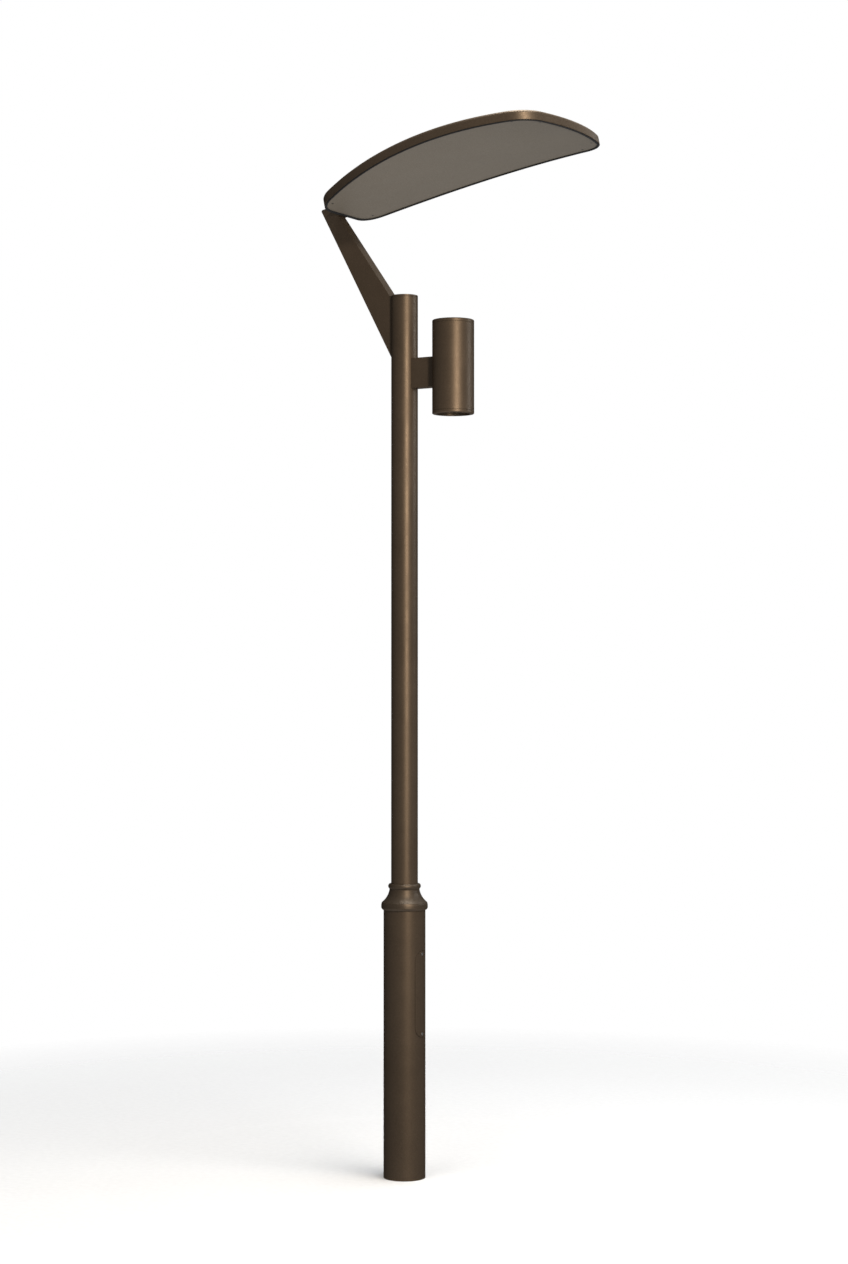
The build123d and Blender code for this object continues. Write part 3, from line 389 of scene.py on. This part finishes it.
def make_lights():
    """Two warm keys, a cool rim, and cool light from behind and above. The keys are returned."""
    warm = (1.0, 0.88, 0.74)
    cool = (0.72, 0.84, 1.0)
    sky = (0.90, 0.95, 1.0)
    keys = [
        area_light("high key", around(52, 7.0, 7.4), (0, 0, 2.6), 0.4, 0.4, 280, warm),
        area_light("key strip", around(52, 6.5, 3.0), (0, 0, 2.4), 1.2, 2.4, 215, warm),
    ]
    area_light("cool rim", around(128, 5.5, 3.9), (0, 0, 2.9), 1.0, 2.2, 40, cool)
    area_light("cool back", around(170, 5.5, 6.6), (0, 0, 3.2), 3.0, 3.0, 34, cool)
    area_light("cool top", (0.6, 0.3, 7.0), (0, 0, 0), 2.6, 2.6, 300, sky)
    return keys


FLOOR_LAMP_SIZE = 3.2
FLOOR_LAMP_TINT = (1.0, 0.95, 0.88)
FLOOR_LAMPS = (("floor right", 77, 225), ("floor front", -8, 95))


def light_floor(floor, keys):
    """Two broad lamps give the pole a soft shadow on either side, and the keys pass the floor by."""
    lit = bpy.data.collections.new("floor only")
    lit.objects.link(floor)
    unlit = bpy.data.collections.new("not the floor")
    unlit.objects.link(floor)
    unlit.collection_objects[0].light_linking.link_state = "EXCLUDE"
    for key in keys:
        key.light_linking.receiver_collection = unlit
    for name, azimuth, power in FLOOR_LAMPS:
        place = around(azimuth, 3.0, 5.0)
        lamp = area_light(name, place, (0, 0, 0), FLOOR_LAMP_SIZE, FLOOR_LAMP_SIZE, power, FLOOR_LAMP_TINT)
        lamp.light_linking.receiver_collection = lit


def make_world():
    """White to the eye. For light and reflections, a dim room that is lighter below."""
    world = bpy.data.worlds.new("studio")
    bpy.context.scene.world = world
    world.use_nodes = True
    tree = world.node_tree
    room = tree.nodes["Background"]
    room.inputs["Color"].default_value = (0.96, 0.97, 1.0, 1.0)
    direction = tree.nodes.new("ShaderNodeTexCoord")
    split = tree.nodes.new("ShaderNodeSeparateXYZ")
    tree.links.new(direction.outputs["Generated"], split.inputs["Vector"])
    level = tree.nodes.new("ShaderNodeMapRange")
    level.interpolation_type = "SMOOTHSTEP"
    level.inputs["From Min"].default_value = 0.0
    level.inputs["From Max"].default_value = -0.9
    level.inputs["To Min"].default_value = 0.10
    level.inputs["To Max"].default_value = 0.62
    tree.links.new(split.outputs["Z"], level.inputs["Value"])
    tree.links.new(level.outputs["Result"], room.inputs["Strength"])
    seen = tree.nodes.new("ShaderNodeBackground")
    seen.inputs["Color"].default_value = (1.0, 1.0, 1.0, 1.0)
    seen.inputs["Strength"].default_value = 1.0
    path = tree.nodes.new("ShaderNodeLightPath")
    mix = tree.nodes.new("ShaderNodeMixShader")
    tree.links.new(path.outputs["Is Camera Ray"], mix.inputs["Fac"])
    tree.links.new(room.outputs["Background"], mix.inputs[1])
    tree.links.new(seen.outputs["Background"], mix.inputs[2])
    tree.links.new(mix.outputs["Shader"], tree.nodes["World Output"].inputs["Surface"])


FLOOR_HALF_SIZE = 4.0
FLOOR_LEVEL = -0.0005    # just below the foot
FLOOR_FADE = (1.2, 3.8)  # from solid to clear, in metres from the pole


def make_floor():
    """Pale floor round the foot that fades out into the white surround and is clear from below."""
    mesh = bpy.data.meshes.new("floor")
    corners = [(x, y, FLOOR_LEVEL) for x, y in ((-1, -1), (1, -1), (1, 1), (-1, 1))]
    corners = [(x * FLOOR_HALF_SIZE, y * FLOOR_HALF_SIZE, z) for x, y, z in corners]
    mesh.from_pydata(corners, [], [(0, 1, 2, 3)])
    floor = bpy.data.objects.new("floor", mesh)
    bpy.context.scene.collection.objects.link(floor)
    g = Graph("pale floor")
    speckle = g.noise(40.0, detail=4.0)
    tone = g.ramp(speckle, (0.3, (0.87, 0.86, 0.85)), (0.7, (0.91, 0.90, 0.89)))
    g.fixed(Roughness=0.75, Specular_IOR_Level=0.2)
    g.finish(tone)
    clear = g.nodes.new("ShaderNodeBsdfTransparent")
    distance = g.nodes.new("ShaderNodeVectorMath")
    distance.operation = "LENGTH"
    g.wire(g.place, distance.inputs[0])
    fade = g.remap(distance.outputs["Value"], *FLOOR_FADE, 0.0, 1.0)
    underside = g.nodes.new("ShaderNodeNewGeometry").outputs["Backfacing"]
    fade = g.math("MAXIMUM", fade, underside)
    mix = g.nodes.new("ShaderNodeMixShader")
    g.wire(fade, mix.inputs["Fac"])
    g.wire(g.shader.outputs["BSDF"], mix.inputs[1])
    g.wire(clear.outputs["BSDF"], mix.inputs[2])
    g.wire(mix.outputs["Shader"], g.nodes["Material Output"].inputs["Surface"])
    mesh.materials.append(g.material)
    floor.visible_diffuse = False
    floor.visible_glossy = False
    return floor


keys = make_lights()
make_world()
light_floor(make_floor(), keys)
bpy.context.scene.view_settings.view_transform = "Standard"
